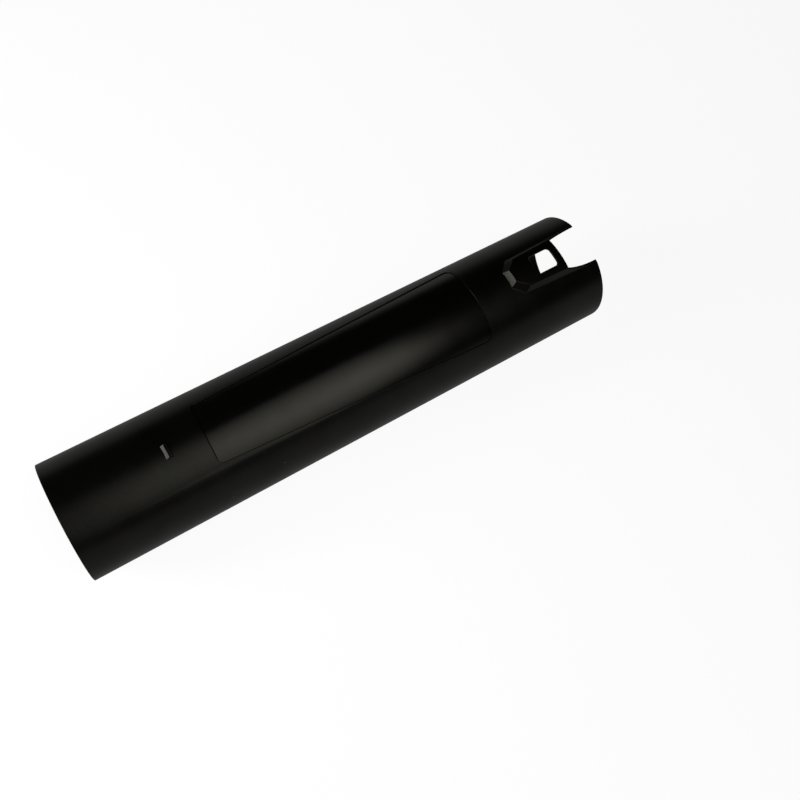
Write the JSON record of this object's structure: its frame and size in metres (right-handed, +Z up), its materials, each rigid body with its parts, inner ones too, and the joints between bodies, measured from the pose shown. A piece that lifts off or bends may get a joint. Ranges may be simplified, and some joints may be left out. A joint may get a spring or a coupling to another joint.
{
  "type": "leaf blower nozzle tube",
  "caption": "Round black plastic blow tube with a raised latch hood, latch window and open slot at the inlet mouth, a shallow sunk panel and a small nozzle catch.",
  "frame": {"origin": "centre of the inlet mouth, on the tube's axis", "axes": "+X along the tube's axis, out of the inlet mouth; +Z up, through the latch hood, as the tube lies at rest"},
  "size_m": [0.4687, 0.095, 0.0995],
  "materials": {
    "black_plastic": "satin moulded black, smoother on the sunk panel"
  },
  "bodies": {
    "root": {"nozzle_tube": "black_plastic"}
  },
  "joints": []
}
